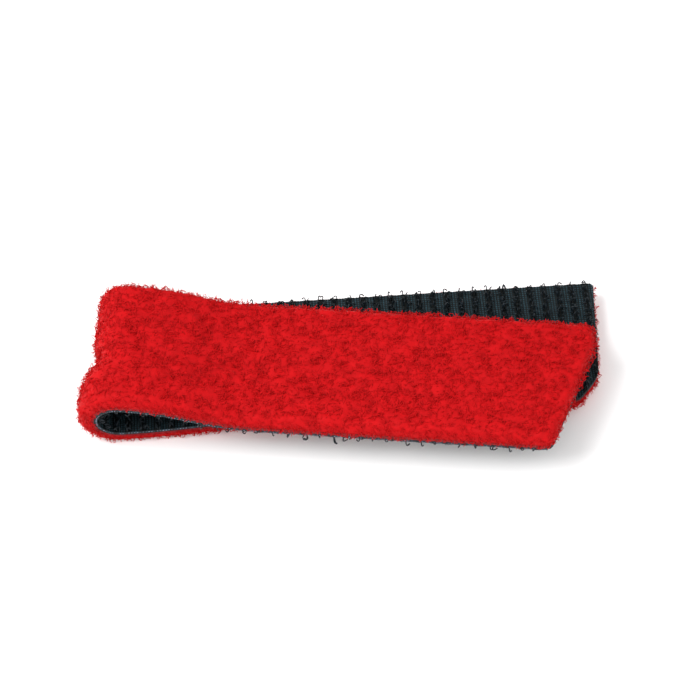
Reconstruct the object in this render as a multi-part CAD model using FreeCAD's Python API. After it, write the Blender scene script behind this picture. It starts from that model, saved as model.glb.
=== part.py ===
"""Wrist strap of back-to-back hook and loop tape, lying folded in half.

The strap is one laminate: a red loop tape with a deep napped pile outside, and a black hook
tape inside, bonded back to back.  It lies on its lower leg, turns through a teardrop-shaped
fold at the left, and its upper leg lies back over the lower one.  The fold is a little
askew, so the two legs fan apart by twice the skew angle.

The soft strap is cut into links that hinge on each other, because a strap bends everywhere.
Each link keeps its four layers: the pile, the loop tape, the hook tape and the rows of
hooks.  Units are millimetres.  X runs from the fold to the ends, Y across the strap and Z
up, with the origin under the middle of the strap at the table.
"""

import FreeCAD, Part
import math
import os
from collections import namedtuple

# --- strap, flat -----------------------------------------------------------------------
WIDTH = 25.0
SKEW = 4.3  # degrees between each leg and the square of the fold line
UPPER_LEG = 57.5  # straight part of each leg, as far as its longest corner
LOWER_LEG = 59.9

# --- layers, as thicknesses outwards from the glued face between the two tapes -----------
TAPE = 0.6  # each woven ground with its coat of adhesive
PILE = 2.6
HOOK_HEIGHT = 1.5
PILE_TOP = TAPE + PILE
HOOK_TIP = TAPE + HOOK_HEIGHT

# --- hook rows -------------------------------------------------------------------------
HOOK_PITCH = 2.5  # between rows, along the strap
HOOK_ROW = 0.4  # thickness of a row
SELVAGE = 0.6  # plain edge without hooks
END_MARGIN = 1.0  # plain end without hooks

# --- fold, as heights of the glued face above the table ----------------------------------
LOWER_HEIGHT = PILE_TOP  # the lower leg stands on its pile
UPPER_HEIGHT = 7.9  # leaves half a millimetre between the facing hooks
FOLD_RADIUS = 4.7
BELLY_HEIGHT = 2.0  # bottom of the fold, where the pile is pressed thin
FLANK_RUN = 24.0  # each leg settles from the fold to level over this length

# --- hinges: distance from the middle of the fold, positive towards the upper end --------
FOLD_HINGES = (-6.2, -3.7, -1.2, 1.2, 3.7, 6.2)
SHOULDER_HINGES = (-14.0, 14.0)
LEG_HINGES = (-26.2, 26.2)
TIP_HINGES = (-66.0, 66.0)
CLEARANCE = 0.08  # each link stops this short of its hinge plane

LINK_NAMES = (
    "lower_tip",
    "lower_span",
    "lower_neck",
    "fold_1",
    "fold_2",
    "fold_3",
    "fold_4",
    "fold_5",
    "fold_6",
    "fold_7",
    "upper_neck",
    "upper_span",
    "upper_tip",
)

# --- ends, as (back from the end, across the strap, corner radius), far edge positive -----
UPPER_END = ((0.8, WIDTH / 2, 1.5), (0.0, 9.0, 4.0), (6.9, -WIDTH / 2, 1.6))
LOWER_END = ((0.0, WIDTH / 2, 0.5), (1.5, -7.6, 3.0), (5.7, -WIDTH / 2, 2.5))

TIP_REACH = 40.0  # an end's outline runs back this far, past its hinge
REACH = 200.0  # size of the blocks that trim a solid
Place = namedtuple("Place", "x z heading")
Bend = namedtuple("Bend", "start end place radius")
Link = namedtuple("Link", "name start end")


def flank(drop):
    """Radius and turn of two opposite arcs that settle by drop over the flank's run."""
    turn = 2 * math.atan(drop / FLANK_RUN)
    return FLANK_RUN / (2 * math.sin(turn)), turn


def skew():
    """Skew angle in radians."""
    return math.radians(SKEW)


def turned(place, radius, distance, offset=0.0):
    """Place reached after a distance from place, on the parallel curve at offset.

    A positive radius turns clockwise, seen from the near edge; None is straight.
    """
    heading = place.heading
    if radius is None:
        x = place.x + distance * math.cos(heading) - offset * math.sin(heading)
        z = place.z + distance * math.sin(heading) + offset * math.cos(heading)
        return Place(x, z, heading)
    new = heading - distance / radius
    centre_x = place.x + radius * math.sin(heading)
    centre_z = place.z - radius * math.cos(heading)
    x = centre_x - (radius + offset) * math.sin(new)
    z = centre_z + (radius + offset) * math.cos(new)
    return Place(x, z, new)


def flat_point(place):
    """A place of the profile as a point in the plane of no width."""
    return FreeCAD.Vector(place.x, 0, place.z)


class Profile:
    """The glued face of the strap seen from its edge, from the lower end to the upper.

    Distances along it are measured from the middle of the fold, and offsets are positive
    towards the pile.
    """

    def __init__(self):
        low_radius, low_turn = flank(LOWER_HEIGHT - BELLY_HEIGHT)
        fold_top = BELLY_HEIGHT + 2 * FOLD_RADIUS
        high_radius, high_turn = flank(fold_top - UPPER_HEIGHT)
        runs = [
            (LOWER_LEG, None),
            (low_radius * low_turn, -low_radius),
            (low_radius * low_turn, low_radius),
            (FOLD_RADIUS * math.pi, FOLD_RADIUS),
            (high_radius * high_turn, high_radius),
            (high_radius * high_turn, -high_radius),
            (UPPER_LEG, None),
        ]
        self.start = -sum(length for length, _ in runs[:3]) - FOLD_RADIUS * math.pi / 2
        self.bends = []
        place = Place(FOLD_RADIUS + FLANK_RUN + LOWER_LEG, LOWER_HEIGHT, math.pi)
        at = self.start
        for length, radius in runs:
            self.bends.append(Bend(at, at + length, place, radius))
            place = turned(place, radius, length)
            at += length
        self.end = at

    def at(self, distance, offset=0.0):
        """Place on the parallel curve at offset; straight on beyond either end."""
        for bend in self.bends:
            if distance <= bend.end:
                break
        return turned(bend.place, bend.radius, distance - bend.start, offset)

    def edges(self, start, end, offset):
        """Edges of the parallel curve at offset, from start to end."""
        found = []
        for bend in self.bends:
            low = start if bend is self.bends[0] else max(start, bend.start)
            high = end if bend is self.bends[-1] else min(end, bend.end)
            if high - low < 1e-6:
                continue
            marks = [
                flat_point(turned(bend.place, bend.radius, d - bend.start, offset))
                for d in (low, (low + high) / 2, high)
            ]
            curve = Part.LineSegment(marks[0], marks[2]) if bend.radius is None else Part.Arc(*marks)
            found.append(curve.toShape())
        return found

    def band(self, start, end, low, high):
        """Layer between two offsets, from start to end, far wider than the strap."""
        caps = [
            Part.LineSegment(flat_point(self.at(d, low)), flat_point(self.at(d, high))).toShape()
            for d in (start, end)
        ]
        edges = self.edges(start, end, low) + self.edges(start, end, high) + caps
        face = Part.Face(Part.Wire(Part.__sortEdges__(edges)))
        face.translate(FreeCAD.Vector(0, -WIDTH * 2, 0))
        return face.extrude(FreeCAD.Vector(0, WIDTH * 4, 0))


PROFILE = Profile()


def point(distance, offset=0.0):
    """Point on the strap's centre line."""
    place = PROFILE.at(distance, offset)
    return FreeCAD.Vector(place.x, -distance * math.tan(skew()), place.z)


def travel(distance):
    """Unit vector along the profile, towards the upper end."""
    heading = PROFILE.at(distance).heading
    return FreeCAD.Vector(math.cos(heading), 0, math.sin(heading))


def outwards(distance):
    """Unit vector from the hooks towards the pile."""
    heading = PROFILE.at(distance).heading
    return FreeCAD.Vector(-math.sin(heading), 0, math.cos(heading))


def across(distance, amount=1.0):
    """Unit vector across the strap, to the far edge.

    amount is 0 along the fold line and 1 square to the strap's edges.
    """
    angle = skew() * amount
    return travel(distance) * math.sin(angle) + FreeCAD.Vector(0, math.cos(angle), 0)


def squareness(distance):
    """How far the rulings have turned from the fold line to square, at a distance."""
    inner, outer = SHOULDER_HINGES[1], LEG_HINGES[1]
    return min(max((abs(distance) - inner) / (outer - inner), 0.0), 1.0)


def hinge_axis(distance):
    """Unit vector along a hinge, to the far edge."""
    return across(distance, squareness(distance))


def hinge_point(distance):
    """Point of a hinge on the centre line.

    The fold opens about the back of its pile; the others close about the back of the hooks.
    """
    return point(distance, TAPE if distance in FOLD_HINGES else -TAPE)


def keep_behind(solid, base, normal):
    """Trims a solid by a plane and keeps the side that the normal points away from."""
    block = Part.makeBox(REACH, REACH, REACH, FreeCAD.Vector(-REACH / 2, -REACH / 2, 0))
    turn = FreeCAD.Rotation(FreeCAD.Vector(0, 0, 1), normal)
    block.Placement = FreeCAD.Placement(base, turn)
    return solid.cut(block)


def trim_at_hinge(solid, distance, side):
    """Trims a solid just short of a hinge; side +1 keeps what comes before it."""
    normal = hinge_axis(distance).cross(outwards(distance)) * side
    return keep_behind(solid, point(distance) - normal * CLEARANCE, normal)


def trim_edges(solid, link):
    """Cuts a layer to the strap's width along both edges."""
    first, last = point(link.start), point(link.end)
    out = outwards((link.start + link.end) / 2)
    half = FreeCAD.Vector(0, WIDTH / 2 / math.cos(skew()), 0)
    for side in (1, -1):
        normal = (last - first).cross(out).normalize()
        if normal.y * side < 0:
            normal = normal * -1
        solid = keep_behind(solid, first + half * side, normal)
    return solid


def rounded_outline(corners):
    """Closed wire through (corner, radius) pairs, with each corner rounded."""
    rounds = []
    for index, (corner, radius) in enumerate(corners):
        before = (corners[index - 1][0] - corner).normalize()
        after = (corners[(index + 1) % len(corners)][0] - corner).normalize()
        half_angle = before.getAngle(after) / 2
        setback = radius / math.tan(half_angle)
        dip = radius / math.sin(half_angle) - radius
        middle = (before + after).normalize()
        rounds.append((corner + before * setback, corner + middle * dip, corner + after * setback))
    edges, previous = [], rounds[-1][2]
    for start, middle, end in rounds:
        edges.append(Part.LineSegment(previous, start).toShape())
        edges.append(Part.Arc(start, middle, end).toShape())
        previous = end
    return Part.Wire(edges)


def end_prism(link):
    """Upright block with the outline of the strap's end, or None away from the ends."""
    if link.name == "upper_tip":
        distance, side, shape = PROFILE.end, 1, UPPER_END
    elif link.name == "lower_tip":
        distance, side, shape = PROFILE.start, -1, LOWER_END
    else:
        return None
    over = across(distance)
    along = (travel(distance) * math.cos(skew()) - FreeCAD.Vector(0, math.sin(skew()), 0)) * side
    end = point(distance)
    end.z = 0
    corners = [(end - along * back + over * v, radius) for back, v, radius in shape]
    for v in (-WIDTH / 2, WIDTH / 2):
        corners.append((end - along * TIP_REACH + over * v, 1.0))
    return Part.Face(rounded_outline(corners)).extrude(FreeCAD.Vector(0, 0, REACH / 4))


def layer(link, low, high):
    """One layer of a link as a solid, trimmed at its hinges and to its edges or end."""
    over = WIDTH * math.tan(skew())  # the raw band runs past a square hinge plane by this
    solid = PROFILE.band(link.start - over, link.end + over, low, high)
    prism = end_prism(link)
    solid = solid.common(prism) if prism else trim_edges(solid, link)
    if link.start > PROFILE.start:
        solid = trim_at_hinge(solid, link.start, -1)
    if link.end < PROFILE.end:
        solid = trim_at_hinge(solid, link.end, 1)
    return solid


def pile(link):
    """The napped loops; where the fold's belly meets the table they are pressed thin."""
    solid = layer(link, TAPE, PILE_TOP)
    return keep_behind(solid, FreeCAD.Vector(0, 0, 0), FreeCAD.Vector(0, 0, -1))


def hook_row(distance):
    """One row of hooks across the strap, standing on the hook tape."""
    amount = squareness(distance)
    length = (WIDTH - 2 * SELVAGE) / math.cos(skew() * (1 - amount))
    sunk = 0.1  # the block starts inside the tape and is trimmed to its face
    row = Part.makeBox(HOOK_ROW, length, HOOK_HEIGHT + sunk)
    row.translate(FreeCAD.Vector(-HOOK_ROW / 2, -length / 2, 0))
    down = outwards(distance) * -1
    over = across(distance, amount)
    turn = FreeCAD.Rotation(over.cross(down), over, down, "ZXY")
    row.Placement = FreeCAD.Placement(point(distance, sunk - TAPE), turn).multiply(row.Placement)
    return row.cut(PROFILE.band(distance - HOOK_PITCH, distance + HOOK_PITCH, -TAPE, 0))


def hook_rows(link):
    """Every row of hooks that falls on a link; the pitch runs on across the hinges."""
    first = max(link.start, PROFILE.start + END_MARGIN)
    last = min(link.end, PROFILE.end - END_MARGIN)
    numbers = range(math.ceil(first / HOOK_PITCH), math.floor(last / HOOK_PITCH) + 1)
    rows = [hook_row(number * HOOK_PITCH) for number in numbers]
    prism = end_prism(link)
    return [row.common(prism) for row in rows] if prism else rows


def make_links():
    """The links in order, from the lower end round the fold to the upper end."""
    marks = sorted(FOLD_HINGES + SHOULDER_HINGES + LEG_HINGES + TIP_HINGES)
    starts = [PROFILE.start] + marks
    ends = marks + [PROFILE.end]
    return [Link(name, start, end) for name, start, end in zip(LINK_NAMES, starts, ends)]


def build_nodes():
    """Every node's solids by name, in the strap's own place."""
    nodes = {}
    for link in make_links():
        nodes["pile_" + link.name] = [pile(link)]
        nodes["loop_tape_" + link.name] = [layer(link, 0, TAPE)]
        nodes["hook_tape_" + link.name] = [layer(link, -TAPE, 0)]
        nodes["hooks_" + link.name] = hook_rows(link)
    return nodes


def footprint_centre(nodes):
    """Middle of the strap's box, at the height of the table."""
    box = FreeCAD.BoundBox()
    for solids in nodes.values():
        for solid in solids:
            box.add(solid.optimalBoundingBox(False))
    return FreeCAD.Vector((box.XMin + box.XMax) / 2, (box.YMin + box.YMax) / 2, 0)


def main():
    """Writes one STEP file per node."""
    os.makedirs("parts", exist_ok=True)
    nodes = build_nodes()
    centre = footprint_centre(nodes)
    for name, solids in nodes.items():
        shape = Part.makeCompound([s for solid in solids for s in solid.Solids])
        shape.translate(centre * -1)
        shape.exportStep("parts/" + name + ".step")
    print(len(nodes), "nodes; the strap was moved by %.3f, %.3f" % (-centre.x, -centre.y))


if __name__ == "__main__":
    main()
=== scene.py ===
"""A wrist strap of back-to-back hook and loop tape, folded in half on a pale table.

The strap is dressed in six layers that follow one curved centre surface: a woven red ground,
a packed bed of pile, loose curled fibres, a ribbed black ground, rows of moulded hooks and a
lock yarn along both edges. Every layer is cut at the same places, so each piece rides one link
of the strap or spans one hinge. Sizes are in millimetres until a mesh is made.
"""

import logging
import math
from dataclasses import dataclass, field
from enum import Enum
from typing import Any, Callable, Dict, List, Optional, Sequence, Tuple

import bmesh
import bpy
import numpy as np
from mathutils import Matrix, Vector, noise


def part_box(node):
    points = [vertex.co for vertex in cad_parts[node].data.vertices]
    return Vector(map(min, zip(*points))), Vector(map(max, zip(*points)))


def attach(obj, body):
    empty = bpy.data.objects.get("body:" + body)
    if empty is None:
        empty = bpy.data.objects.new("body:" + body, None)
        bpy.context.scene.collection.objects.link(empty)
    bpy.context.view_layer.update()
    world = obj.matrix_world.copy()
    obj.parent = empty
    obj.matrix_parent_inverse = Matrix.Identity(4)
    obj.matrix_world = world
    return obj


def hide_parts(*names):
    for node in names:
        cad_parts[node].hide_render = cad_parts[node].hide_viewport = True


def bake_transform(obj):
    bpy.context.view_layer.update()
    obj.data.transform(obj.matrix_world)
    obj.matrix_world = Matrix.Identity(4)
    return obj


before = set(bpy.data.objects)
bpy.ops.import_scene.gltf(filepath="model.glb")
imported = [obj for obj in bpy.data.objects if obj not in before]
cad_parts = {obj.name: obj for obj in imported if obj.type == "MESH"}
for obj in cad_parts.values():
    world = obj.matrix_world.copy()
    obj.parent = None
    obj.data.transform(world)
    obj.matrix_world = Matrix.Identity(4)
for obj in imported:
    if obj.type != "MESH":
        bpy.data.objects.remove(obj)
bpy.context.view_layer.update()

MM = 0.001
HOOK_PITCH = 2.5  # rows of hooks, and the ribs of the ground between them, repeat at this
WEFT_PITCH = 0.5  # weft lines, and the lock yarn's turns over them
NYLON_IOR = 1.53
FULL_TURN = 6.283
SHARP_ANGLE = math.radians(55)  # edges sharper than this aren't smoothed over
LOG = logging.getLogger("strap")
Depth = Callable[[float, float], float]


# --- helpers -----------------------------------------------------------------------------


def linear(code: str) -> Tuple[float, float, float, float]:
    """Turns an sRGB hex code into a linear colour.

    Args:
        code: Six hex digits after a hash.

    Returns:
        Red, green, blue and an alpha of one.
    """
    parts = [int(code[i : i + 2], 16) / 255 for i in (1, 3, 5)]
    r, g, b = (c / 12.92 if c <= 0.04045 else ((c + 0.055) / 1.055) ** 2.4 for c in parts)
    return (r, g, b, 1.0)


def add_node(
    tree: bpy.types.NodeTree,
    kind: str,
    settings: Optional[Dict[str, Any]] = None,
    inputs: Optional[Dict[Any, Any]] = None,
) -> bpy.types.Node:
    """Adds a node with its settings, values and links.

    Args:
        tree: Tree that takes the node.
        kind: The node's type name.
        settings: Attribute values by name.
        inputs: A value, or another node's output, by input name or number.

    Returns:
        The new node.
    """
    node = tree.nodes.new(kind)
    for name, value in (settings or {}).items():
        setattr(node, name, value)
    for key, value in (inputs or {}).items():
        if isinstance(value, bpy.types.NodeSocket):
            tree.links.new(value, node.inputs[key])
        else:
            node.inputs[key].default_value = value
    return node


def add_object(name: str, data: bpy.types.ID) -> bpy.types.Object:
    """Adds an object that shows a mesh, lamp or camera to the scene."""
    made = bpy.data.objects.new(name, data)
    bpy.context.scene.collection.objects.link(made)
    return made


def smoothstep(x: float) -> float:
    """Rises smoothly from 0 to 1 as x does."""
    x = min(max(x, 0.0), 1.0)
    return x * x * (3 - 2 * x)


def name_number(name: str) -> int:
    """A number that depends on a name only, to seed its random draws."""
    return sum(ord(c) for c in name)


def grain(u: float, v: float, size: float, seed: float) -> float:
    """Smooth noise between about -1 and 1, with lumps of a given size in millimetres."""
    return noise.noise(Vector((u / size, v / size, seed))) * 1.6


# --- finishes ----------------------------------------------------------------------------


class Finish:
    """A surface finish that builds its own material the first time it is asked for."""

    slot: str = ""
    title: str = ""

    def material(self) -> bpy.types.Material:
        """Returns the finish's material, built once."""
        found = bpy.data.materials.get(self.title)
        if found:
            return found
        made = bpy.data.materials.new(self.title)
        made.use_nodes = True
        tree = made.node_tree
        tree.nodes.clear()
        shader = add_node(tree, "ShaderNodeBsdfPrincipled", inputs=self.dress(tree))
        add_node(tree, "ShaderNodeOutputMaterial", inputs={"Surface": shader.outputs[0]})
        return made

    def dress(self, tree: bpy.types.NodeTree) -> Dict[str, Any]:
        """Builds the nodes of the look, and returns the shader's inputs by name."""
        raise NotImplementedError


def blended(tree: bpy.types.NodeTree, factor: Any, first: Any, second: Any) -> bpy.types.NodeSocket:
    """Mixes two colours by a factor.

    Args:
        tree: The material's tree.
        factor: Number or output, 0 for the first colour.
        first: Colour or output.
        second: Colour or output.

    Returns:
        The mixed colour's output.
    """
    node = add_node(
        tree, "ShaderNodeMix", {"data_type": "RGBA"}, {0: factor, 6: first, 7: second}
    )
    return node.outputs[2]


def noise_map(
    tree: bpy.types.NodeTree, where: bpy.types.NodeSocket, scale: float, detail: float = 2.0
) -> bpy.types.NodeSocket:
    """Adds a noise texture, and returns its grey output."""
    inputs = {"Vector": where, "Scale": scale, "Detail": detail}
    return add_node(tree, "ShaderNodeTexNoise", inputs=inputs).outputs[0]


def product(tree: bpy.types.NodeTree, first: Any, second: Any) -> bpy.types.NodeSocket:
    """Multiplies two numbers or outputs, and returns the product's output."""
    node = add_node(tree, "ShaderNodeMath", {"operation": "MULTIPLY"}, {0: first, 1: second})
    return node.outputs[0]


@dataclass(frozen=True)
class NappedPile(Finish):
    """Brushed nylon loop pile, dyed red: matt and deep, with painted shade at the roots and painted
    highlights on the curled tips.
    """

    title: str = "red brushed nylon pile"
    slot: str = "red_pile"
    # deep is painted shade for the roots and the gaps between tufts; tips is a painted highlight on the
    # curled ends
    deep: str = "#AA0B10"
    middle: str = "#B80D12"
    tips: str = "#C51417"
    patch: float = 2.2  # the nap lies in tufts about this wide
    curl: float = 0.45  # and single curls are about this wide

    def dress(self, tree: bpy.types.NodeTree) -> Dict[str, Any]:
        """Paints shade into the roots and the gaps between tufts, and paints a highlight onto the tips."""
        where = add_node(tree, "ShaderNodeTexCoord").outputs["Object"]
        tufts = noise_map(tree, where, 1 / (self.patch * MM), 3.0)
        curls = noise_map(tree, where, 1 / (self.curl * MM))
        spread = add_node(
            tree,
            "ShaderNodeMapRange",
            inputs={"Value": tufts, "From Min": 0.36, "From Max": 0.62},
        )
        strand = add_node(tree, "ShaderNodeAttribute", {"attribute_name": "strand"})
        # painted shade: the deep colour fills the gaps between tufts
        base = blended(tree, spread.outputs[0], linear(self.deep), linear(self.middle))
        # painted highlight towards each fibre's tip; the bed has no strand, so it keeps the painted shade
        # of the base
        base = blended(tree, strand.outputs["Fac"], base, linear(self.tips))
        fleck = add_node(
            tree,
            "ShaderNodeMapRange",
            inputs={"Value": curls, "From Min": 0.3, "From Max": 0.7, "To Max": 0.2},
        )
        bump = add_node(
            tree, "ShaderNodeBump", inputs={"Height": curls, "Strength": 0.3, "Distance": 0.2 * MM}
        )
        return {
            "Base Color": blended(tree, fleck.outputs[0], base, linear(self.deep)),
            "Normal": bump.outputs[0],
            "Roughness": 0.62,
            "IOR": NYLON_IOR,
            "Sheen Weight": 0.06,
            "Sheen Roughness": 0.5,
            "Sheen Tint": linear("#FF5A50"),
            "Specular IOR Level": 0.06,
        }


@dataclass(frozen=True)
class WovenGround(Finish):
    """Woven nylon tape with its wefts across the strap, set hard by the adhesive coat, with painted
    highlights on the weave's crowns and painted shade in its hollows.
    """

    title: str = "woven nylon ground"
    slot: str = "red_loop_ground"
    # thread is painted shade for the weave's hollows, ridge a painted highlight for its crowns
    thread: str = "#7E0E13"
    ridge: str = "#A5161B"
    weft: float = WEFT_PITCH
    warp: float = 0.42  # pitch of the warp ends across it
    ribs: float = 0.0  # pitch of painted light between hook rows and painted shade along them, if it has hooks
    contrast: float = 1.7
    roughness: float = 0.55

    def dress(self, tree: bpy.types.NodeTree) -> Dict[str, Any]:
        """Lays warp and weft over the strap's own lengthwise and crosswise map, as painted highlights on
        the weave's crowns.
        """
        flat = add_node(tree, "ShaderNodeUVMap", {"uv_map": "strap"}).outputs[0]
        lines = []
        for direction, pitch in (("X", self.weft), ("Y", self.warp)):
            wave = add_node(
                tree,
                "ShaderNodeTexWave",
                {"bands_direction": direction},
                {"Vector": flat, "Scale": math.pi / 10 / pitch, "Distortion": 1.2, "Detail": 1.0},
            )
            lines.append(wave.outputs[1])
        weave = product(tree, lines[0], lines[1])
        mottle = noise_map(tree, flat, 1.4, 4.0)
        crown_light_and_mottle = product(tree, product(tree, weave, mottle), self.contrast)
        # painted shade along each row of hooks, painted light on the ribs between them
        if self.ribs:
            hook_row_shade = add_node(
                tree, "ShaderNodeTexWave", {"bands_direction": "X"},
                {"Vector": flat, "Scale": math.pi / 10 / self.ribs, "Distortion": 0.0},
            )
            crown_light_and_mottle = product(tree, crown_light_and_mottle, hook_row_shade.outputs[1])
        bump = add_node(
            tree, "ShaderNodeBump", inputs={"Height": weave, "Strength": 0.8, "Distance": 0.12 * MM}
        )
        return {
            "Base Color": blended(tree, crown_light_and_mottle, linear(self.thread), linear(self.ridge)),
            "Normal": bump.outputs[0],
            "Roughness": self.roughness,
            "IOR": NYLON_IOR,
            "Specular IOR Level": 0.15,
        }


@dataclass(frozen=True)
class Monofilament(Finish):
    """Drawn nylon monofilament: smooth, so each hook carries a small cool glint."""

    title: str = "black nylon monofilament"
    slot: str = "black_hooks"
    dark: str = "#070B0C"
    light: str = "#1A262E"

    def dress(self, tree: bpy.types.NodeTree) -> Dict[str, Any]:
        """Varies the tone a little from hook to hook."""
        tone = noise_map(tree, add_node(tree, "ShaderNodeTexCoord").outputs["Object"], 900.0)
        return {
            "Base Color": blended(tree, tone, linear(self.dark), linear(self.light)),
            "Roughness": 0.34,
            "IOR": NYLON_IOR,
            "Specular IOR Level": 0.2,
        }


@dataclass(frozen=True)
class SelvageYarn(Finish):
    """Lock yarn along each edge, with painted highlights on its turns: matt and pale, it reads as a dotted
    line.
    """

    title: str = "grey selvage yarn"
    slot: str = "black_hook_ground"
    dark: str = "#23272F"
    # light is a painted highlight on the yarn's turns
    light: str = "#9498AE"

    def dress(self, tree: bpy.types.NodeTree) -> Dict[str, Any]:
        """Paints a highlight on the turns of the yarn, and leaves single turns darker than their
        neighbours.
        """
        tone = noise_map(tree, add_node(tree, "ShaderNodeTexCoord").outputs["Object"], 1400.0)
        spread = add_node(
            tree, "ShaderNodeMapRange", inputs={"Value": tone, "From Min": 0.4, "From Max": 0.65}
        )
        return {
            "Base Color": blended(tree, spread.outputs[0], linear(self.dark), linear(self.light)),
            "Roughness": 0.7,
            "IOR": NYLON_IOR,
        }


PILE = NappedPile()
RED_GROUND = WovenGround(title="red woven nylon ground")
BLACK_GROUND = WovenGround(
    title="black woven nylon ground",
    slot="black_hook_ground",
    # the pale bluish ridge is a painted highlight on the black ribs, and thread the painted shade between
    # them
    thread="#060A0A",
    ridge="#385661",
    ribs=HOOK_PITCH,
)
HOOKS = Monofilament()
SELVAGE = SelvageYarn()


# --- the strap's centre surface ------------------------------------------------------------


class Leg(Enum):
    """The two halves of the folded strap."""

    LOWER = -1
    UPPER = 1


@dataclass
class StrapSurface:
    """The curved surface between the two tapes, and places measured along and across it.

    u runs along the strap from the middle of the fold, positive to the upper end, v across it
    to the far edge, and d outwards towards the pile.
    """

    width: float = 25.0
    skew: float = math.radians(4.3)
    tape: float = 0.6
    pile: float = 2.6
    fold_radius: float = 4.7
    belly: float = 2.0  # height of the fold's lowest centre point above the table
    lower_height: float = 3.2
    upper_height: float = 7.9
    flank: float = 24.0  # length over which each leg comes down to the fold
    lower_leg: float = 59.9
    upper_leg: float = 57.5
    lean: float = 2.7  # the far half of the fold is drawn in by this
    lean_from: float = -10.0  # place across the strap where that starts
    lean_over: float = 18.0  # and the distance in which it reaches its full depth
    dent: float = 2.2  # the crease between the halves goes in by this much more
    dent_at: float = -1.2
    dent_width: float = 2.4
    push_falloff: float = 1.5  # power by which the push fades round the fold
    # each end's outline, as places across the strap and how far back the cut lies there
    upper_cut: Tuple[Tuple[float, ...], Tuple[float, ...]] = ((-12.5, 9.0, 12.5), (6.9, 0.0, 0.8))
    lower_cut: Tuple[Tuple[float, ...], Tuple[float, ...]] = ((-12.5, -7.6, 12.5), (5.7, 1.5, 0.0))
    cut_corner: float = 1.5  # radius of the corners of the ends
    sharp_corner: float = 0.5  # but of the lower end's far corner
    cut_softening: float = 0.4  # step of the average that rounds the cut's own bends
    floor_gap: float = 0.02  # nothing comes closer to the table than this
    bends: List[Tuple[float, float, float, float, float, float]] = field(default_factory=list)
    origin: Tuple[float, float] = (0.0, 0.0)

    def __post_init__(self) -> None:
        """Lays out the profile's runs and arcs, and finds where the fold stands."""
        low_radius, low_turn = self.settle(self.lower_height - self.belly)
        top = self.belly + 2 * self.fold_radius
        high_radius, high_turn = self.settle(top - self.upper_height)
        runs = [
            (self.lower_leg, 0.0),
            (low_radius * low_turn, -low_radius),
            (low_radius * low_turn, low_radius),
            (self.fold_radius * math.pi, self.fold_radius),
            (high_radius * high_turn, high_radius),
            (high_radius * high_turn, -high_radius),
            (self.upper_leg, 0.0),
        ]
        at = -sum(r[0] for r in runs[:3]) - self.fold_radius * math.pi / 2
        x, z, heading = self.fold_radius + self.flank + self.lower_leg, self.lower_height, math.pi
        for length, radius in runs:
            self.bends.append((at, at + length, x, z, heading, radius))
            x, z, heading = self.walk(x, z, heading, radius, length, 0.0)
            at += length
        low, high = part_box("pile_fold_4")
        self.origin = (low.x / MM + self.tape + self.pile, (low.y + high.y) / 2 / MM)

    def settle(self, drop: float) -> Tuple[float, float]:
        """Returns the radius and turn of two opposite arcs that come down by drop."""
        turn = 2 * math.atan(drop / self.flank)
        return self.flank / (2 * math.sin(turn)), turn

    @staticmethod
    def walk(
        x: float, z: float, heading: float, radius: float, distance: float, offset: float
    ) -> Tuple[float, float, float]:
        """Place and heading after a distance along a run or arc, at an offset from it."""
        if radius == 0:
            return (
                x + distance * math.cos(heading) - offset * math.sin(heading),
                z + distance * math.sin(heading) + offset * math.cos(heading),
                heading,
            )
        new = heading - distance / radius
        cx, cz = x + radius * math.sin(heading), z - radius * math.cos(heading)
        return cx - (radius + offset) * math.sin(new), cz + (radius + offset) * math.cos(new), new

    def profile(self, s: float, d: float) -> Tuple[float, float, float]:
        """Place and heading at a distance along the profile and an offset from it."""
        for bend in self.bends:
            if s <= bend[1]:
                break
        return self.walk(bend[2], bend[3], bend[4], bend[5], s - bend[0], d)

    def point(self, u: float, v: float, d: float = 0.0) -> Tuple[float, float, float]:
        """Point in space, in millimetres, of a place on the strap."""
        s = u * math.cos(self.skew) + v * math.sin(self.skew)
        x, z, heading = self.profile(s, d)
        pushed = self.pushed(u, v)
        x += pushed * math.sin(heading)
        z -= pushed * math.cos(heading)
        y = -u * math.sin(self.skew) + v * math.cos(self.skew)
        return x + self.origin[0], y + self.origin[1], max(z, self.floor_gap)

    def room(self, u: float, v: float, gap: float) -> float:
        """Greatest depth at a place that still stays a gap above the table."""
        s = u * math.cos(self.skew) + v * math.sin(self.skew)
        _, z, heading = self.profile(s, 0.0)
        fall = -math.cos(heading)
        faces_table = fall > 0.2
        return (z - gap) / fall if faces_table else math.inf

    def pushed(self, u: float, v: float) -> float:
        """How far the fold is pressed in at a place; it stays short of the fold's centre."""
        angle = (u * math.cos(self.skew) + v * math.sin(self.skew)) / self.fold_radius
        if abs(angle) >= math.pi / 2:
            return 0.0
        depth = self.lean * smoothstep((v - self.lean_from) / self.lean_over)
        depth += self.dent * math.exp(-(((v - self.dent_at) / self.dent_width) ** 2))
        return depth * math.cos(angle) ** self.push_falloff

    def end(self, leg: Leg, v: float) -> float:
        """How far along the strap its cut end lies, at a place across it."""
        upper = leg is Leg.UPPER
        outline = self.upper_cut if upper else self.lower_cut
        near = [np.interp(v + k * self.cut_softening, *outline) for k in range(-4, 5)]
        back = float(np.mean(near))
        radius = self.cut_corner if upper or v < 0 else self.sharp_corner
        past = max(abs(v) - self.width / 2 + radius, 0.0)
        back += radius - math.sqrt(max(radius**2 - past**2, 0.0))
        edge = self.bends[-1][1] if upper else self.bends[0][0]
        return edge / math.cos(self.skew) - back * leg.value

    def inset(self, u: float, v: float) -> float:
        """How far a place lies inside the strap's nearest edge or cut end."""
        side = self.width / 2 - abs(v)
        return max(min(side, self.end(Leg.UPPER, v) - u, u - self.end(Leg.LOWER, v)), 0.0)

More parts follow.
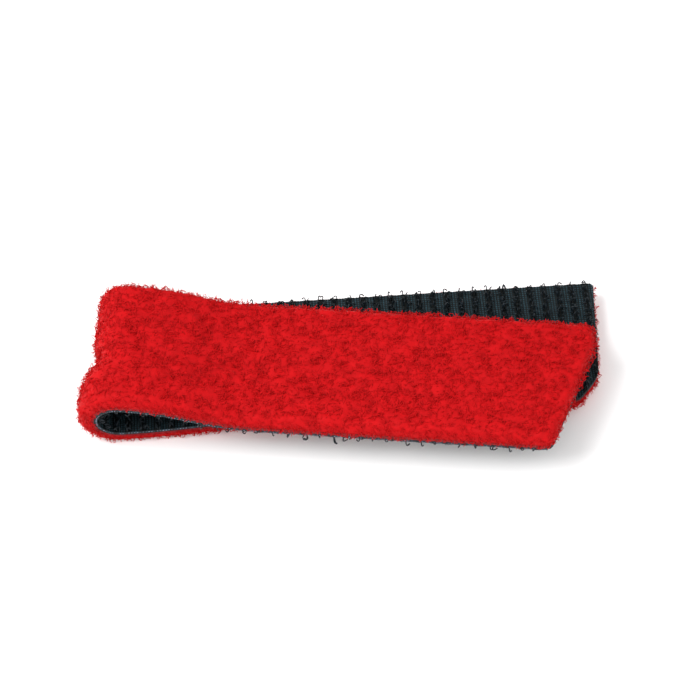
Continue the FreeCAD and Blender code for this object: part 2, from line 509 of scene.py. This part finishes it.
    def swell(self, u: float, v: float, rim_width: float) -> float:
        """Rises from 0 at the strap's rim to 1 inside it, along a quarter of a circle."""
        rim = min(self.inset(u, v) / rim_width, 1.0)
        return math.sqrt(max(1 - (1 - rim) ** 2, 0.0))


@dataclass(frozen=True)
class Border:
    """A line across the strap where one piece stops and the next begins.

    turn is 0 where the line runs with the fold and 1 where it is square to the strap.
    """

    distance: float
    turn: float

    def at(self, surface: StrapSurface, v: float) -> float:
        """Place along the strap where this line crosses a place across it."""
        return self.distance / math.cos(surface.skew) - v * math.tan(surface.skew) * (1 - self.turn)


@dataclass(frozen=True)
class Section:
    """One stretch of the strap that rides one link or spans the hinge between two."""

    name: str
    bodies: Tuple[str, ...]
    first: Optional[Border]
    last: Optional[Border]
    hinge: float = 0.0
    reach: float = 0.0
    square: bool = False

    def span(self, surface: StrapSurface, v: float) -> Tuple[float, float]:
        """Where the section starts and stops along the strap, at a place across it."""
        low = self.first.at(surface, v) if self.first else surface.end(Leg.LOWER, v)
        high = self.last.at(surface, v) if self.last else surface.end(Leg.UPPER, v)
        return low, high

    def attach(self, piece: bpy.types.Object) -> None:
        """Makes a piece ride its link; a piece that spans a hinge only has its placement baked into its
        mesh.
        """
        if len(self.bodies) == 1:
            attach(piece, self.bodies[0])
            return
        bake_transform(piece)


class Cutting:
    """Divides the strap into sections, one across each hinge and one for each long link."""

    hinges = (-66.0, -26.2, -14.0, -6.2, -3.7, -1.2, 1.2, 3.7, 6.2, 14.0, 26.2, 66.0)
    tip_reach = 8.0  # how far the bend at a tip's hinge spreads on each side
    leg_reach = 6.1  # and that of another hinge beside a long link, on the link's side
    long_link = 30.0  # a link longer than this stays rigid in its middle
    tip_from = 60.0  # hinges beyond this are the tips' own
    square_from = 20.0  # hinges beyond this bend square to the strap
    fold_until = 10.0  # hinges nearer than this belong to the fold
    turn_from = 14.0  # borders up to here run with the fold
    turn_over = 12.2  # and turn square to the strap over this distance
    leg_bend = 0.85  # share of a section's room that its bend takes up
    fold_bend = 0.22  # the fold bends close to each hinge, because its inner side is crowded
    shortest_link = 1.0  # a rigid stretch shorter than this gets no section of its own

    def __init__(self) -> None:
        """Names the links in order from the lower end."""
        folds = ["fold_%d" % n for n in range(1, 8)]
        lower = ["lower_tip", "lower_span", "lower_neck"]
        self.links = lower + folds + ["upper_neck", "upper_span", "upper_tip"]

    def border(self, distance: float) -> Border:
        """The line at a distance, turned as far as the hinges near it are."""
        turn = (abs(distance) - self.turn_from) / self.turn_over
        return Border(distance, min(max(turn, 0.0), 1.0))

    def sections(self) -> List[Section]:
        """Every section in order, from the lower end to the upper."""
        made: List[Section] = []
        marks: List[Tuple[float, float]] = []
        for index, hinge in enumerate(self.hinges):
            before = self.hinges[index - 1] if index else None
            after = self.hinges[index + 1] if index + 1 < len(self.hinges) else None
            left = self.reach(hinge, before)
            right = self.reach(hinge, after)
            marks.append((hinge - left, hinge + right))
        previous: Optional[Border] = None
        for index, (hinge, (low, high)) in enumerate(zip(self.hinges, marks)):
            link = self.links[index]
            if previous is None or low - previous.distance > self.shortest_link:
                made.append(Section(link, (link,), previous, self.border(low)))
            share = self.leg_bend if abs(hinge) > self.fold_until else self.fold_bend
            reach = share * min(hinge - low, high - hinge)
            pair = (link, self.links[index + 1])
            name = "_to_".join(pair)
            square = abs(hinge) > self.square_from
            made.append(
                Section(name, pair, self.border(low), self.border(high), hinge, reach, square)
            )
            previous = self.border(high)
        made.append(Section(self.links[-1], (self.links[-1],), previous, None))
        return made

    def reach(self, hinge: float, neighbour: Optional[float]) -> float:
        """How far a hinge's bend spreads on one side."""
        if neighbour is None or abs(neighbour - hinge) > self.long_link:
            return self.tip_reach if abs(hinge) > self.tip_from else self.leg_reach
        return abs(neighbour - hinge) / 2


# --- layers ------------------------------------------------------------------------------


@dataclass
class Layer:
    """One layer of the strap, made a section at a time."""

    surface: StrapSurface
    finish: Finish
    name: str
    cad: str

    def finish_piece(self, piece: bpy.types.Object, section: Section) -> None:
        """Attaches a piece and lets it stand for its CAD solids."""
        section.attach(piece)
        if self.cad:
            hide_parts(*(self.cad + "_" + body for body in section.bodies))
        LOG.info("%s: %d faces", piece.name, len(piece.data.polygons))

    def grid(
        self, section: Section, step: float, depth: Depth, rounded: bool = False
    ) -> Tuple[np.ndarray, np.ndarray]:
        """Grid of points over a section at a varying depth.

        Args:
            section: The stretch to cover.
            step: Spacing of the points.
            depth: Offset for a place along and across the strap.
            rounded: Packs the points towards the edges and ends, to follow a rounded rim.

        Returns:
            Points in metres and their flat places, both indexed along then across.
        """
        half = self.surface.width / 2
        low, high = section.span(self.surface, 0.0)
        along = max(int(math.ceil((high - low) / step)), 2) + 1
        across = int(math.ceil(2 * half / max(step, 0.5) * (1.5 if rounded else 1.0))) + 1
        points = np.zeros((along, across, 3))
        flat = np.zeros((along, across, 2))
        sides = np.linspace(-1.0, 1.0, across)
        ways = np.linspace(0.0, 1.0, along)
        if rounded:
            sides = np.sin(sides * math.pi / 2)
            if section.first is None:
                ways = 1 - np.cos(ways * math.pi / 2)
            if section.last is None:
                ways = np.sin(ways * math.pi / 2)
        for j, side in enumerate(sides):
            v = half * float(side)
            low, high = section.span(self.surface, v)
            for i, way in enumerate(ways):
                u = low + (high - low) * float(way)
                points[i, j] = self.surface.point(u, v, depth(u, v))
                flat[i, j] = (u, v)
        return points * MM, flat

    def shell(
        self, name: str, section: Section, step: float, low: Depth, high: Depth, rounded: bool = False
    ) -> bpy.types.Object:
        """Closed slab between two depths, with the strap's flat map as its UVs.

        Args:
            name: Name of the piece.
            section: The stretch it covers.
            step: Spacing of its points.
            low: Depth of its inner face.
            high: Depth of its outer face.
            rounded: Packs the points towards the rim.

        Returns:
            The new piece.
        """
        bottom, flat = self.grid(section, step, low, rounded)
        top, _ = self.grid(section, step, high, rounded)
        n, m = top.shape[:2]
        index, quads = grid_quads(n, m)
        faces = quads.tolist() + (quads[:, ::-1] + n * m).tolist()
        rim = list(index[:, 0]) + list(index[-1, 1:])
        rim += list(index[-2::-1, -1]) + list(index[0, -2:0:-1])
        for a, b in zip(rim, rim[1:] + rim[:1]):
            faces.append([int(b), int(a), int(a) + n * m, int(b) + n * m])
        vertices = np.concatenate([top.reshape(-1, 3), bottom.reshape(-1, 3)])
        mesh = bpy.data.meshes.new(name)
        mesh.from_pydata(vertices.tolist(), [], [[int(c) for c in f] for f in faces])
        uv = mesh.uv_layers.new(name="strap")
        places = np.concatenate([flat.reshape(-1, 2)] * 2)
        loops = np.zeros(len(mesh.loops), int)
        mesh.loops.foreach_get("vertex_index", loops)
        uv.data.foreach_set("uv", places[loops].ravel())
        mesh.shade_smooth()
        mesh.materials.append(self.finish.material())
        piece = add_object(name, mesh)
        face_outwards(piece)
        mesh.set_sharp_from_angle(angle=SHARP_ANGLE)
        return piece


def grid_quads(n: int, m: int) -> Tuple[np.ndarray, np.ndarray]:
    """Vertex numbers of an n by m grid, and the four corners of each of its faces."""
    index = np.arange(n * m).reshape(n, m)
    quads = np.stack([index[:-1, :-1], index[1:, :-1], index[1:, 1:], index[:-1, 1:]], -1)
    return index, quads.reshape(-1, 4)


def face_outwards(piece: bpy.types.Object) -> None:
    """Recalculates a closed mesh's normals to point outwards."""
    work = bmesh.new()
    work.from_mesh(piece.data)
    bmesh.ops.recalc_face_normals(work, faces=work.faces[:])
    work.to_mesh(piece.data)
    work.free()


def baked(
    source: bpy.types.Object, tree: bpy.types.NodeTree, values: Dict[str, Any], name: str
) -> bpy.types.Object:
    """Runs a Geometry Nodes tree on an object and keeps the plain mesh that it makes.

    Args:
        source: Object that carries the tree's starting mesh; it is removed.
        tree: The tree to run.
        values: The tree's inputs by name.
        name: Name of the finished piece.

    Returns:
        The finished piece.
    """
    modifier = source.modifiers.new("build", "NODES")
    modifier.node_group = tree
    for item in tree.interface.items_tree:
        if getattr(item, "in_out", "") == "INPUT" and item.name in values:
            modifier[item.identifier] = values[item.name]
    bpy.context.view_layer.update()
    evaluated = source.evaluated_get(bpy.context.evaluated_depsgraph_get())
    mesh = bpy.data.meshes.new_from_object(evaluated)
    source.modifiers.clear()
    mesh.name = name
    piece = add_object(name, mesh)
    old = source.data
    bpy.data.objects.remove(source)
    bpy.data.meshes.remove(old)
    return piece


def new_tree(title: str, inputs: Sequence[Tuple[str, str]]) -> Tuple[bpy.types.NodeTree, bpy.types.Node]:
    """Starts a Geometry Nodes tree with a geometry input and output and named inputs."""
    tree = bpy.data.node_groups.new(title, "GeometryNodeTree")
    tree.interface.new_socket("Geometry", in_out="INPUT", socket_type="NodeSocketGeometry")
    for name, kind in inputs:
        tree.interface.new_socket(name, in_out="INPUT", socket_type=kind)
    tree.interface.new_socket("Geometry", in_out="OUTPUT", socket_type="NodeSocketGeometry")
    return tree, add_node(tree, "NodeGroupInput")


def end_tree(
    tree: bpy.types.NodeTree, given: bpy.types.Node, geometry: bpy.types.NodeSocket
) -> None:
    """Gives the tree's result the material among its inputs, and puts it out."""
    inputs = {"Geometry": geometry, "Material": given.outputs["Material"]}
    dyed = add_node(tree, "GeometryNodeSetMaterial", inputs=inputs)
    add_node(tree, "NodeGroupOutput", inputs={0: dyed.outputs[0]})


@dataclass
class GroundLayer(Layer):
    """A woven ground: a thin slab with its weft lines raised on the outer or hook face."""

    low: float = 0.0
    high: float = 0.6
    rib: float = 0.0
    weft: float = WEFT_PITCH
    ribbed_step: float = WEFT_PITCH / 4
    plain_step: float = 0.7

    def ribbed(self, u: float, v: float) -> float:
        """Depth of the hook face: fine wefts, on a broad ridge along each row of hooks."""
        fine = abs(math.sin(math.pi * u / self.weft))
        broad = 0.5 - 0.5 * math.cos(2 * math.pi * u / HOOK_PITCH)
        return self.low + self.rib * (0.5 * (1 - broad) + 0.35 * (1 - fine))

    def build(self, section: Section) -> None:
        """Builds the slab of one section."""
        step = self.ribbed_step if self.rib else self.plain_step
        low = self.ribbed if self.rib else (lambda u, v: self.low)
        name = self.name + "_" + section.name
        piece = self.shell(name, section, step, low, lambda u, v: self.high)
        self.finish_piece(piece, section)


@dataclass
class PileBed(Layer):
    """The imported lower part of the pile, lumpy on top and rounded at the strap's edges."""

    height: float = 2.05
    step: float = 0.45
    rim_width: float = 1.4
    rim_height: float = 0.08  # least height of the bed, at its rim
    sunk: float = 0.05  # the bed starts this deep in the ground
    table_gap: float = 0.35

    def crown(self, u: float, v: float) -> float:
        """Depth of the bed's top."""
        lumps = 0.2 * grain(u, v, 2.4, 3.1) + 0.14 * grain(u, v, 0.8, 9.7)
        swollen = (self.height + lumps) * self.surface.swell(u, v, self.rim_width)
        top = self.surface.tape + self.rim_height + swollen
        return min(top, self.surface.room(u, v, self.table_gap))

    def build(self, section: Section) -> None:
        """Builds the bed of one section."""
        root = self.surface.tape - self.sunk
        name = self.name + "_" + section.name
        piece = self.shell(name, section, self.step, lambda u, v: root, self.crown, rounded=True)
        self.finish_piece(piece, section)


@dataclass
class PileCurls(Layer):
    """Loose curled fibres that stand out of the bed."""

    density: float = 7.0  # fibres to the square millimetre
    thickness: float = 0.055
    height: float = 1.05
    curl: float = 1.5  # how far noise can move a fibre's tip
    step: float = 0.8
    rim_width: float = 1.2
    shallowest: float = 0.15  # depth of the roots at the rim
    deepest: float = 1.95  # and how much further out they are inside it
    table_gap: float = 0.5
    worn_width: float = 1.5  # fibres are worn short this far in from the rim
    seed: int = 11
    tree: Optional[bpy.types.NodeTree] = None

    def plant_tree(self) -> bpy.types.NodeTree:
        """Builds the tree that scatters and curls the fibres.

        Returns:
            A tree with inputs for density, height, thickness, curl, seed and material.
        """
        names = [("Density", "NodeSocketFloat"), ("Height", "NodeSocketFloat")]
        names += [("Thickness", "NodeSocketFloat"), ("Curl", "NodeSocketFloat")]
        names += [("Seed", "NodeSocketInt"), ("Material", "NodeSocketMaterial")]
        tree, given = new_tree("napped fibres", names)
        value = given.outputs
        roots = add_node(
            tree,
            "GeometryNodeDistributePointsOnFaces",
            inputs={"Mesh": value["Geometry"], "Density": value["Density"], "Seed": value["Seed"]},
        )
        strand = add_node(
            tree,
            "GeometryNodeCurveSpiral",
            inputs={
                "Resolution": 7,
                "Rotations": 0.85,
                "Start Radius": 0.12 * MM,
                "End Radius": 0.52 * MM,
                "Height": value["Height"],
            },
        )
        lean = add_node(
            tree, "FunctionNodeRandomValue", {"data_type": "FLOAT_VECTOR"},
            {0: (-0.75, -0.75, 0.0), 1: (0.75, 0.75, FULL_TURN), "Seed": value["Seed"]},
        )
        turned = add_node(
            tree, "FunctionNodeRotateRotation", {"rotation_space": "LOCAL"},
            {0: roots.outputs["Rotation"], 1: lean.outputs[0]},
        )
        vary = add_node(
            tree, "FunctionNodeRandomValue", {"data_type": "FLOAT"},
            {2: 0.62, 3: 1.18, "Seed": value["Seed"]},
        )
        reach = add_node(
            tree, "GeometryNodeInputNamedAttribute", {"data_type": "FLOAT"}, {"Name": "reach"}
        )
        size = add_node(
            tree, "ShaderNodeMath", {"operation": "MULTIPLY"}, {0: vary.outputs[1], 1: reach.outputs[0]}
        )
        placed = add_node(
            tree,
            "GeometryNodeInstanceOnPoints",
            inputs={
                "Points": roots.outputs["Points"],
                "Instance": strand.outputs[0],
                "Rotation": turned.outputs[0],
                "Scale": size.outputs[0],
            },
        )
        real = add_node(tree, "GeometryNodeRealizeInstances", inputs={0: placed.outputs[0]})
        along = add_node(tree, "GeometryNodeSplineParameter")
        where = add_node(tree, "GeometryNodeInputPosition")
        wander = add_node(
            tree, "ShaderNodeTexNoise", inputs={"Vector": where.outputs[0], "Scale": 1100.0, "Detail": 0.0}
        )
        centred = add_node(
            tree, "ShaderNodeVectorMath", {"operation": "SUBTRACT"},
            {0: wander.outputs["Color"], 1: (0.5, 0.5, 0.5)},
        )
        amount = add_node(
            tree, "ShaderNodeMath", {"operation": "MULTIPLY"},
            {0: along.outputs["Factor"], 1: value["Curl"]},
        )
        offset = add_node(
            tree, "ShaderNodeVectorMath", {"operation": "SCALE"},
            {0: centred.outputs[0], "Scale": amount.outputs[0]},
        )
        moved = add_node(
            tree, "GeometryNodeSetPosition", inputs={0: real.outputs[0], "Offset": offset.outputs[0]}
        )
        raised = add_node(
            tree, "ShaderNodeVectorMath", {"operation": "MAXIMUM"},
            {0: where.outputs[0], 1: (-1.0, -1.0, 0.07 * MM)},
        )
        rested = add_node(
            tree, "GeometryNodeSetPosition", inputs={0: moved.outputs[0], "Position": raised.outputs[0]}
        )
        # how far along its fibre each point lies; the pile material paints light onto the tips and shade at
        # the roots by this
        marked = add_node(
            tree, "GeometryNodeStoreNamedAttribute", {"data_type": "FLOAT", "domain": "POINT"},
            {"Geometry": rested.outputs[0], "Name": "strand", "Value": along.outputs["Factor"]},
        )
        ring = add_node(
            tree, "GeometryNodeCurvePrimitiveCircle", inputs={"Resolution": 3, "Radius": value["Thickness"]}
        )
        tubes = add_node(
            tree, "GeometryNodeCurveToMesh",
            inputs={"Curve": marked.outputs[0], "Profile Curve": ring.outputs[0], "Fill Caps": True},
        )
        end_tree(tree, given, tubes.outputs[0])
        return tree

    def bed(self, u: float, v: float) -> float:
        """Depth at which the fibres start: inside the bed, and down the wall at its rim."""
        depth = self.shallowest + self.deepest * self.surface.swell(u, v, self.rim_width)
        return min(depth, self.surface.room(u, v, self.table_gap))

    def length(self, u: float, v: float) -> float:
        """Relative length of the fibres: they are worn short at the rim, most at the near one."""
        rim = min(self.surface.inset(u, v) / self.worn_width, 1.0)
        on_lower_leg = u < -30
        least = 0.45 if v < 0 or on_lower_leg else 0.75
        return least + (1 - least) * rim

    def build(self, section: Section) -> None:
        """Grows the fibres of one section."""
        self.tree = self.tree or self.plant_tree()
        points, flat = self.grid(section, self.step, self.bed, rounded=True)
        _, quads = grid_quads(*points.shape[:2])
        mesh = bpy.data.meshes.new("soil")
        mesh.from_pydata(points.reshape(-1, 3).tolist(), [], quads.tolist())
        lengths = [self.length(*place) for place in flat.reshape(-1, 2)]
        mesh.attributes.new("reach", "FLOAT", "POINT").data.foreach_set("value", lengths)
        soil = add_object("soil", mesh)
        if self.looks_inwards(points):
            mesh.flip_normals()
        values = {
            "Density": self.density / MM**2,
            "Height": self.height * MM,
            "Thickness": self.thickness * MM,
            "Curl": self.curl * MM,
            "Seed": self.seed + name_number(section.name),
            "Material": self.finish.material(),
        }
        piece = baked(soil, self.tree, values, self.name + "_" + section.name)
        self.finish_piece(piece, section)

    def looks_inwards(self, points: np.ndarray) -> bool:
        """True if a grid's faces would look at the hooks instead of out of the pile."""
        n, m = points.shape[:2]
        a, b, c = points[n // 2, m // 2], points[n // 2 + 1, m // 2], points[n // 2, m // 2 + 1]
        return float(np.dot(np.cross(b - a, c - a), self.lift(a))) < 0

    def lift(self, place: np.ndarray) -> np.ndarray:
        """Rough outward direction at a place, away from the middle of the fold's height."""
        s = self.surface
        height = (s.belly + s.fold_radius) * MM
        near_fold = place[0] < (s.origin[0] + s.fold_radius) * MM
        sideways = -1.0 if near_fold else 0.0
        fall = (place[2] - height) / (s.fold_radius * MM)
        return np.array([sideways * max(1 - abs(fall), 0.0), 0.0, fall])


@dataclass
class HookRows(Layer):
    """Rows of small upright hooks on the black ground."""

    pitch: float = HOOK_PITCH
    spacing: float = 0.72
    height: float = 1.1  # of the stem's line; the crook rises above it
    thickness: float = 0.12
    selvage: float = 0.35  # hooks stay this far from the edges
    end_gap: float = 0.3  # and this far from the cut ends
    twin: float = 0.3  # each row is double, with hooks this far to either side of its line
    sunk: float = 0.05
    crushed: float = 1.6  # no hooks stand where the fold is pressed in further than this
    stray_share: float = 0.035  # share of hooks that stand out above the others
    seed: int = 7
    tree: Optional[bpy.types.NodeTree] = None

    def hook_tree(self) -> bpy.types.NodeTree:
        """Builds the tree that stands a hook on each point.

        Returns:
            A tree with inputs for height, thickness, seed and material.
        """
        names = [("Height", "NodeSocketFloat"), ("Thickness", "NodeSocketFloat")]
        names += [("Seed", "NodeSocketInt"), ("Material", "NodeSocketMaterial")]
        tree, given = new_tree("moulded hooks", names)
        value = given.outputs
        stem_top = add_node(
            tree, "ShaderNodeCombineXYZ", inputs={"X": 0.0, "Y": 0.0, "Z": value["Height"]}
        )
        over = add_node(
            tree, "ShaderNodeVectorMath", {"operation": "ADD"},
            {0: stem_top.outputs[0], 1: (0.75 * MM, 0.0, -0.5 * MM)},
        )
        peak = add_node(
            tree, "ShaderNodeVectorMath", {"operation": "ADD"},
            {0: stem_top.outputs[0], 1: (0.1 * MM, 0.0, 0.75 * MM)},
        )
        low = add_node(
            tree, "ShaderNodeVectorMath", {"operation": "SCALE"}, {0: stem_top.outputs[0], "Scale": 0.62}
        )
        stem = add_node(
            tree, "GeometryNodeCurvePrimitiveLine", inputs={"Start": (0.0, 0.0, 0.0), "End": low.outputs[0]}
        )
        crook = add_node(
            tree, "GeometryNodeCurveQuadraticBezier",
            inputs={
                "Resolution": 5,
                "Start": low.outputs[0],
                "Middle": peak.outputs[0],
                "End": over.outputs[0],
            },
        )
        ring = add_node(
            tree, "GeometryNodeCurvePrimitiveCircle", inputs={"Resolution": 4, "Radius": value["Thickness"]}
        )
        parts = []
        for curve in (stem, crook):
            parts.append(
                add_node(
                    tree, "GeometryNodeCurveToMesh",
                    inputs={"Curve": curve.outputs[0], "Profile Curve": ring.outputs[0], "Fill Caps": True},
                )
            )
        hook = add_node(tree, "GeometryNodeJoinGeometry")
        for part in parts:
            tree.links.new(part.outputs[0], hook.inputs[0])
        upright = add_node(
            tree, "GeometryNodeInputNamedAttribute", {"data_type": "FLOAT_VECTOR"}, {"Name": "up"}
        )
        stood = add_node(
            tree, "FunctionNodeAlignRotationToVector", {"axis": "Z"}, {"Vector": upright.outputs[0]}
        )
        lean = add_node(
            tree, "FunctionNodeRandomValue", {"data_type": "FLOAT_VECTOR"},
            {0: (-0.3, -0.3, 0.0), 1: (0.3, 0.3, FULL_TURN), "Seed": value["Seed"]},
        )
        turned = add_node(
            tree, "FunctionNodeRotateRotation", {"rotation_space": "LOCAL"},
            {0: stood.outputs[0], 1: lean.outputs[0]},
        )
        size = add_node(
            tree, "GeometryNodeInputNamedAttribute", {"data_type": "FLOAT"}, {"Name": "size"}
        )
        placed = add_node(
            tree, "GeometryNodeInstanceOnPoints",
            inputs={
                "Points": value["Geometry"],
                "Instance": hook.outputs[0],
                "Rotation": turned.outputs[0],
                "Scale": size.outputs[0],
            },
        )
        real = add_node(tree, "GeometryNodeRealizeInstances", inputs={0: placed.outputs[0]})
        end_tree(tree, given, real.outputs[0])
        return tree

    def roots(self, section: Section) -> Tuple[List[Any], List[Any], List[float]]:
        """Where each hook of a section stands, which way is up, and its size."""
        rng = np.random.default_rng(self.seed + name_number(section.name))
        half = self.surface.width / 2 - self.selvage
        count = int(2 * half / self.spacing)
        places, ups, sizes = [], [], []
        for row in range(-40, 41):
            for shift in (-self.twin, self.twin):
                for k in range(count + 1):
                    v = -half + 2 * half * k / count + rng.uniform(-0.15, 0.15)
                    v = min(max(v, -half), half)
                    u = row * self.pitch + shift + rng.uniform(-0.1, 0.1)
                    low, high = section.span(self.surface, v)
                    low += self.end_gap * (section.first is None)
                    high -= self.end_gap * (section.last is None)
                    if not low <= u < high or self.surface.pushed(u, v) > self.crushed:
                        continue
                    base = np.array(self.surface.point(u, v, self.sunk - self.surface.tape))
                    tip = np.array(self.surface.point(u, v, -self.surface.tape - 0.5))
                    places.append((base * MM).tolist())
                    ups.append((tip - base).tolist())
                    stray = rng.random() < self.stray_share
                    sizes.append(rng.uniform(1.25, 1.6) if stray else rng.uniform(0.8, 1.02))
        return places, ups, sizes

    def build(self, section: Section) -> None:
        """Builds the hooks of one section."""
        self.tree = self.tree or self.hook_tree()
        places, ups, sizes = self.roots(section)
        mesh = bpy.data.meshes.new("sockets")
        mesh.from_pydata(places, [], [])
        mesh.attributes.new("up", "FLOAT_VECTOR", "POINT").data.foreach_set("vector", np.ravel(ups))
        mesh.attributes.new("size", "FLOAT", "POINT").data.foreach_set("value", sizes)
        sockets = add_object("sockets", mesh)
        values = {
            "Height": self.height * MM,
            "Thickness": self.thickness * MM,
            "Seed": 5,
            "Material": self.finish.material(),
        }
        piece = baked(sockets, self.tree, values, self.name + "_" + section.name)
        self.finish_piece(piece, section)


@dataclass
class EdgeTurns(Layer):
    """The lock yarn's turns along both edges of the black ground."""

    pitch: float = WEFT_PITCH
    depth: float = -0.42
    bead: Tuple[float, float, float] = (0.12, 0.1, 0.12)  # half sizes of one turn
    tree: Optional[bpy.types.NodeTree] = None

    def turns_tree(self) -> bpy.types.NodeTree:
        """Builds the tree that sets a small bead of yarn on each point."""
        names = [("Size", "NodeSocketVector"), ("Material", "NodeSocketMaterial")]
        tree, given = new_tree("selvage turns", names)
        bead = add_node(tree, "GeometryNodeMeshIcoSphere", inputs={"Radius": 1.0, "Subdivisions": 2})
        placed = add_node(
            tree, "GeometryNodeInstanceOnPoints",
            inputs={
                "Points": given.outputs["Geometry"],
                "Instance": bead.outputs[0],
                "Scale": given.outputs["Size"],
            },
        )
        real = add_node(tree, "GeometryNodeRealizeInstances", inputs={0: placed.outputs[0]})
        end_tree(tree, given, real.outputs[0])
        return tree

    def build(self, section: Section) -> None:
        """Builds the turns along both edges of one section."""
        self.tree = self.tree or self.turns_tree()
        places = []
        for v in (-self.surface.width / 2, self.surface.width / 2):
            low, high = section.span(self.surface, v)
            for n in range(math.ceil(low / self.pitch), math.ceil(high / self.pitch)):
                place = self.surface.point(n * self.pitch, v, self.depth)
                places.append([c * MM for c in place])
        mesh = bpy.data.meshes.new("turns")
        mesh.from_pydata(places, [], [])
        turns = add_object("turns", mesh)
        size = tuple(half * MM for half in self.bead)
        values = {"Size": size, "Material": self.finish.material()}
        piece = baked(turns, self.tree, values, self.name + "_" + section.name)
        self.finish_piece(piece, section)


# --- studio ------------------------------------------------------------------------------


@dataclass
class Studio:
    """A pale floor, soft light from above and a long lens."""

    elevation: float = math.radians(55.0)
    lens: float = 135.0
    picture: float = 122.5  # width of what the camera sees at the strap
    aim: Tuple[float, float, float] = (1.8, 2.1, 7.0)
    floor_half: float = 3.0  # in metres

    @staticmethod
    def facing(place: Vector, back: Vector) -> Matrix:
        """Where a lamp or camera stands, with its back turned along a direction."""
        return Matrix.Translation(place) @ back.to_track_quat("Z", "Y").to_matrix().to_4x4()

    def floor(self) -> None:
        """Lays the floor."""
        mesh = bpy.data.meshes.new("studio_floor")
        half = self.floor_half
        corners = [(-half, -half, 0), (half, -half, 0), (half, half, 0), (-half, half, 0)]
        mesh.from_pydata(corners, [], [(0, 1, 2, 3)])
        floor = add_object("studio_floor", mesh)
        paint = bpy.data.materials.new("studio paper")
        paint.use_nodes = True
        shader = paint.node_tree.nodes["Principled BSDF"]
        shader.inputs["Base Color"].default_value = linear("#FAFAFA")
        shader.inputs["Roughness"].default_value = 0.9
        mesh.materials.append(paint)

    def light(self, name: str, place: Tuple[float, float, float], size: float, power: float) -> None:
        """Hangs one soft light that points at the strap."""
        lamp = bpy.data.lights.new(name, "AREA")
        lamp.size = size
        lamp.energy = power
        add_object(name, lamp).matrix_world = self.facing(Vector(place), Vector(place))

    def build(self) -> None:
        """Sets floor, lights and camera."""
        self.floor()
        self.light("key", (-0.5, -0.1, 0.6), 0.5, 6.0)
        self.light("fill", (0.5, -0.5, 0.45), 0.6, 1.5)
        world = bpy.data.worlds.new("studio")
        world.use_nodes = True
        world.node_tree.nodes["Background"].inputs[0].default_value = linear("#FFFFFF")
        world.node_tree.nodes["Background"].inputs[1].default_value = 0.9
        bpy.context.scene.world = world
        bpy.context.scene.view_settings.view_transform = "Standard"
        camera = bpy.data.cameras.new("camera")
        camera.lens = self.lens
        camera.sensor_width = 36.0
        camera.clip_start = 0.01
        holder = add_object("camera", camera)
        away = Vector((0.0, -math.cos(self.elevation), math.sin(self.elevation)))
        distance = self.picture * MM * self.lens / camera.sensor_width
        holder.matrix_world = self.facing(Vector(self.aim) * MM + away * distance, away)
        bpy.context.scene.camera = holder


def main() -> None:
    """Builds every layer of the strap, then the studio."""
    logging.basicConfig(level=logging.INFO, format="%(message)s")
    surface = StrapSurface()
    tape, deep = surface.tape, -surface.tape
    layers: List[Any] = [
        GroundLayer(surface, RED_GROUND, "loop_ground", "loop_tape", low=0.0, high=tape + 0.1),
        PileBed(surface, PILE, "pile_bed", "pile"),
        PileCurls(surface, PILE, "pile_curls", ""),
        GroundLayer(surface, BLACK_GROUND, "hook_ground", "hook_tape", low=deep, high=0.0, rib=-0.22),
        HookRows(surface, HOOKS, "hook_rows", "hooks"),
        EdgeTurns(surface, SELVAGE, "selvage", ""),
    ]
    sections = Cutting().sections()
    for layer in layers:
        for section in sections:
            layer.build(section)
    Studio().build()


if __name__ == "__main__":
    main()
